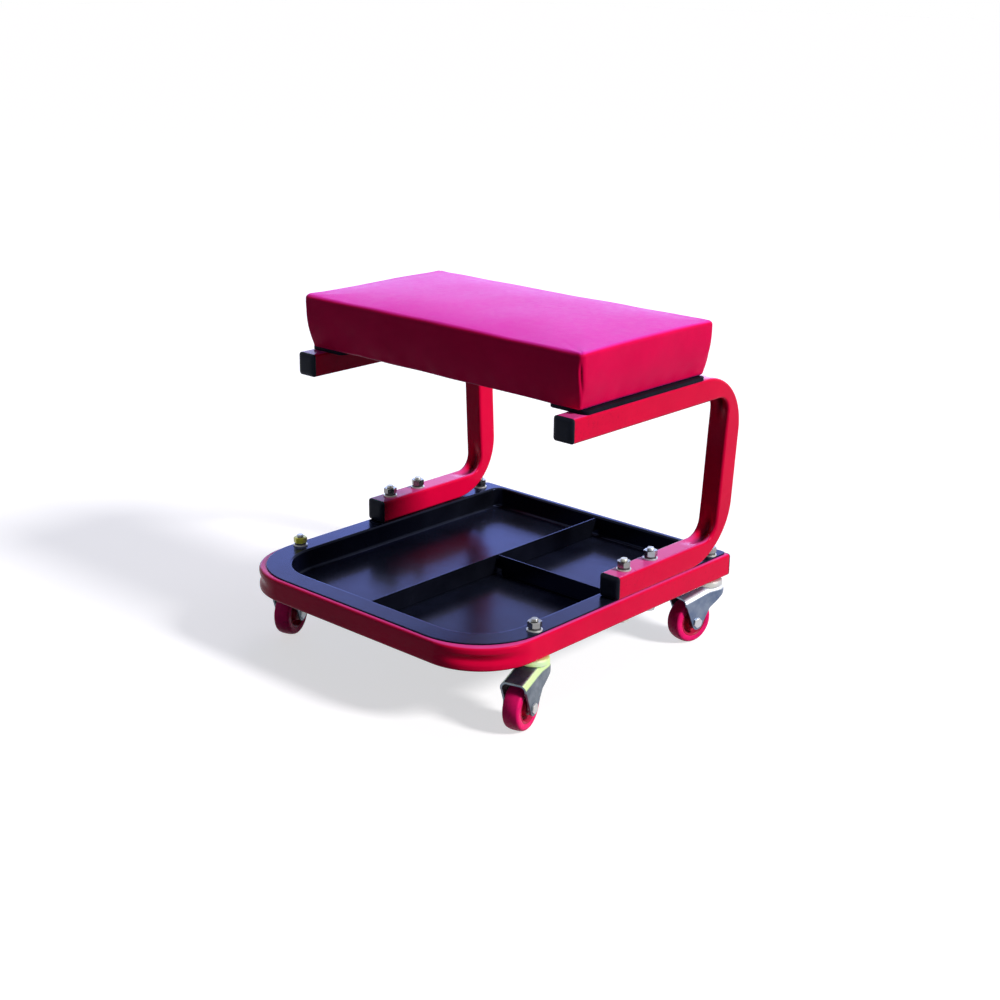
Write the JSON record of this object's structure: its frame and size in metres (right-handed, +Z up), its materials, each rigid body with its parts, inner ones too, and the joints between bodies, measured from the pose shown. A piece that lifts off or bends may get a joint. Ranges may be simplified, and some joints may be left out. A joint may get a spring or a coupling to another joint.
{
  "type": "creeper seat",
  "caption": "Low rolling work seat: padded cushion on C-shaped square-tube legs over a divided tool tray in a bent tube base with swivel casters.",
  "frame": {"origin": "on the floor below the centre of the base frame's footprint", "axes": "+Z up, +X to the right seen from the front, +Y to the back, where the base tube is open"},
  "size_m": [0.3934, 0.403, 0.3745],
  "materials": {
    "frame_paint": "glossy crimson paint",
    "tray_paint": "glossy black paint",
    "plate_paint": "satin black paint",
    "cap_plastic": "moulded black plastic",
    "zinc": "bright zinc plate with a faint yellow and blue tint",
    "bearing_steel": "polished steel",
    "tyre_red": "smooth coral red tread",
    "core_red": "moulded coral red plastic",
    "plywood": "raw plywood",
    "foam": "open-cell foam",
    "seat_vinyl": "soft crimson vinyl, satin",
    "dust_cloth": "black non-woven cloth"
  },
  "bodies": {
    "frame": {"base_frame": "frame_paint", "base_end_caps": "cap_plastic", "tool_tray": "tray_paint", "long_divider": "tray_paint", "cross_divider": "tray_paint", "left_leg": "frame_paint", "right_leg": "frame_paint", "foot_end_caps": "cap_plastic", "arm_end_caps": "cap_plastic", "leg_bolts": "zinc", "leg_washers": "zinc", "leg_spring_washers": "zinc", "leg_nuts": "zinc", "left_seat_plate": "plate_paint", "right_seat_plate": "plate_paint", "seat_board": "plywood", "seat_foam": "foam", "seat_cover": "seat_vinyl", "dust_cover": "dust_cloth", "plate_bolts": "zinc", "plate_washers": "zinc", "plate_nuts": "zinc", "seat_screws": "zinc", "stem_washers": "zinc", "stem_spring_washers": "zinc", "stem_nuts": "zinc", "fl_stem": "zinc", "fl_balls": "bearing_steel", "fr_stem": "zinc", "fr_balls": "bearing_steel", "rl_stem": "zinc", "rl_balls": "bearing_steel", "rr_stem": "zinc", "rr_balls": "bearing_steel"},
    "front_left_fork": {"fl_fork": "zinc", "fl_sleeve": "bearing_steel", "fl_axle_bolt": "zinc", "fl_axle_nut": "zinc"},
    "front_left_wheel": {"fl_tyre": "tyre_red", "fl_core": "core_red"},
    "front_right_fork": {"fr_fork": "zinc", "fr_sleeve": "bearing_steel", "fr_axle_bolt": "zinc", "fr_axle_nut": "zinc"},
    "front_right_wheel": {"fr_tyre": "tyre_red", "fr_core": "core_red"},
    "rear_left_fork": {"rl_fork": "zinc", "rl_sleeve": "bearing_steel", "rl_axle_bolt": "zinc", "rl_axle_nut": "zinc"},
    "rear_left_wheel": {"rl_tyre": "tyre_red", "rl_core": "core_red"},
    "rear_right_fork": {"rr_fork": "zinc", "rr_sleeve": "bearing_steel", "rr_axle_bolt": "zinc", "rr_axle_nut": "zinc"},
    "rear_right_wheel": {"rr_tyre": "tyre_red", "rr_core": "core_red"}
  },
  "joints": [
    {"name": "front_left_swivel", "type": "hinge", "parent": "frame", "child": "front_left_fork", "pos_m": [-0.1725, -0.1135, 0.06], "axis": [0, 0, 1], "continuous": true},
    {"name": "front_left_roll", "type": "hinge", "parent": "front_left_fork", "child": "front_left_wheel", "pos_m": [-0.16318, -0.13777, 0.025], "axis": [0.9336, 0.3584, 0], "continuous": true},
    {"name": "front_right_swivel", "type": "hinge", "parent": "frame", "child": "front_right_fork", "pos_m": [0.1725, -0.1135, 0.06], "axis": [0, 0, 1], "continuous": true},
    {"name": "front_right_roll", "type": "hinge", "parent": "front_right_fork", "child": "front_right_wheel", "pos_m": [0.17879, -0.13873, 0.025], "axis": [0.9703, 0.2419, 0], "continuous": true},
    {"name": "rear_left_swivel", "type": "hinge", "parent": "frame", "child": "rear_left_fork", "pos_m": [-0.1725, 0.1785, 0.06], "axis": [0, 0, 1], "continuous": true},
    {"name": "rear_left_roll", "type": "hinge", "parent": "rear_left_fork", "child": "rear_left_wheel", "pos_m": [-0.17879, 0.15327, 0.025], "axis": [0.9703, -0.2419, 0], "continuous": true},
    {"name": "rear_right_swivel", "type": "hinge", "parent": "frame", "child": "rear_right_fork", "pos_m": [0.1725, 0.1785, 0.06], "axis": [0, 0, 1], "continuous": true},
    {"name": "rear_right_roll", "type": "hinge", "parent": "rear_right_fork", "child": "rear_right_wheel", "pos_m": [0.16709, 0.15307, 0.025], "axis": [0.9781, -0.2079, 0], "continuous": true}
  ]
}
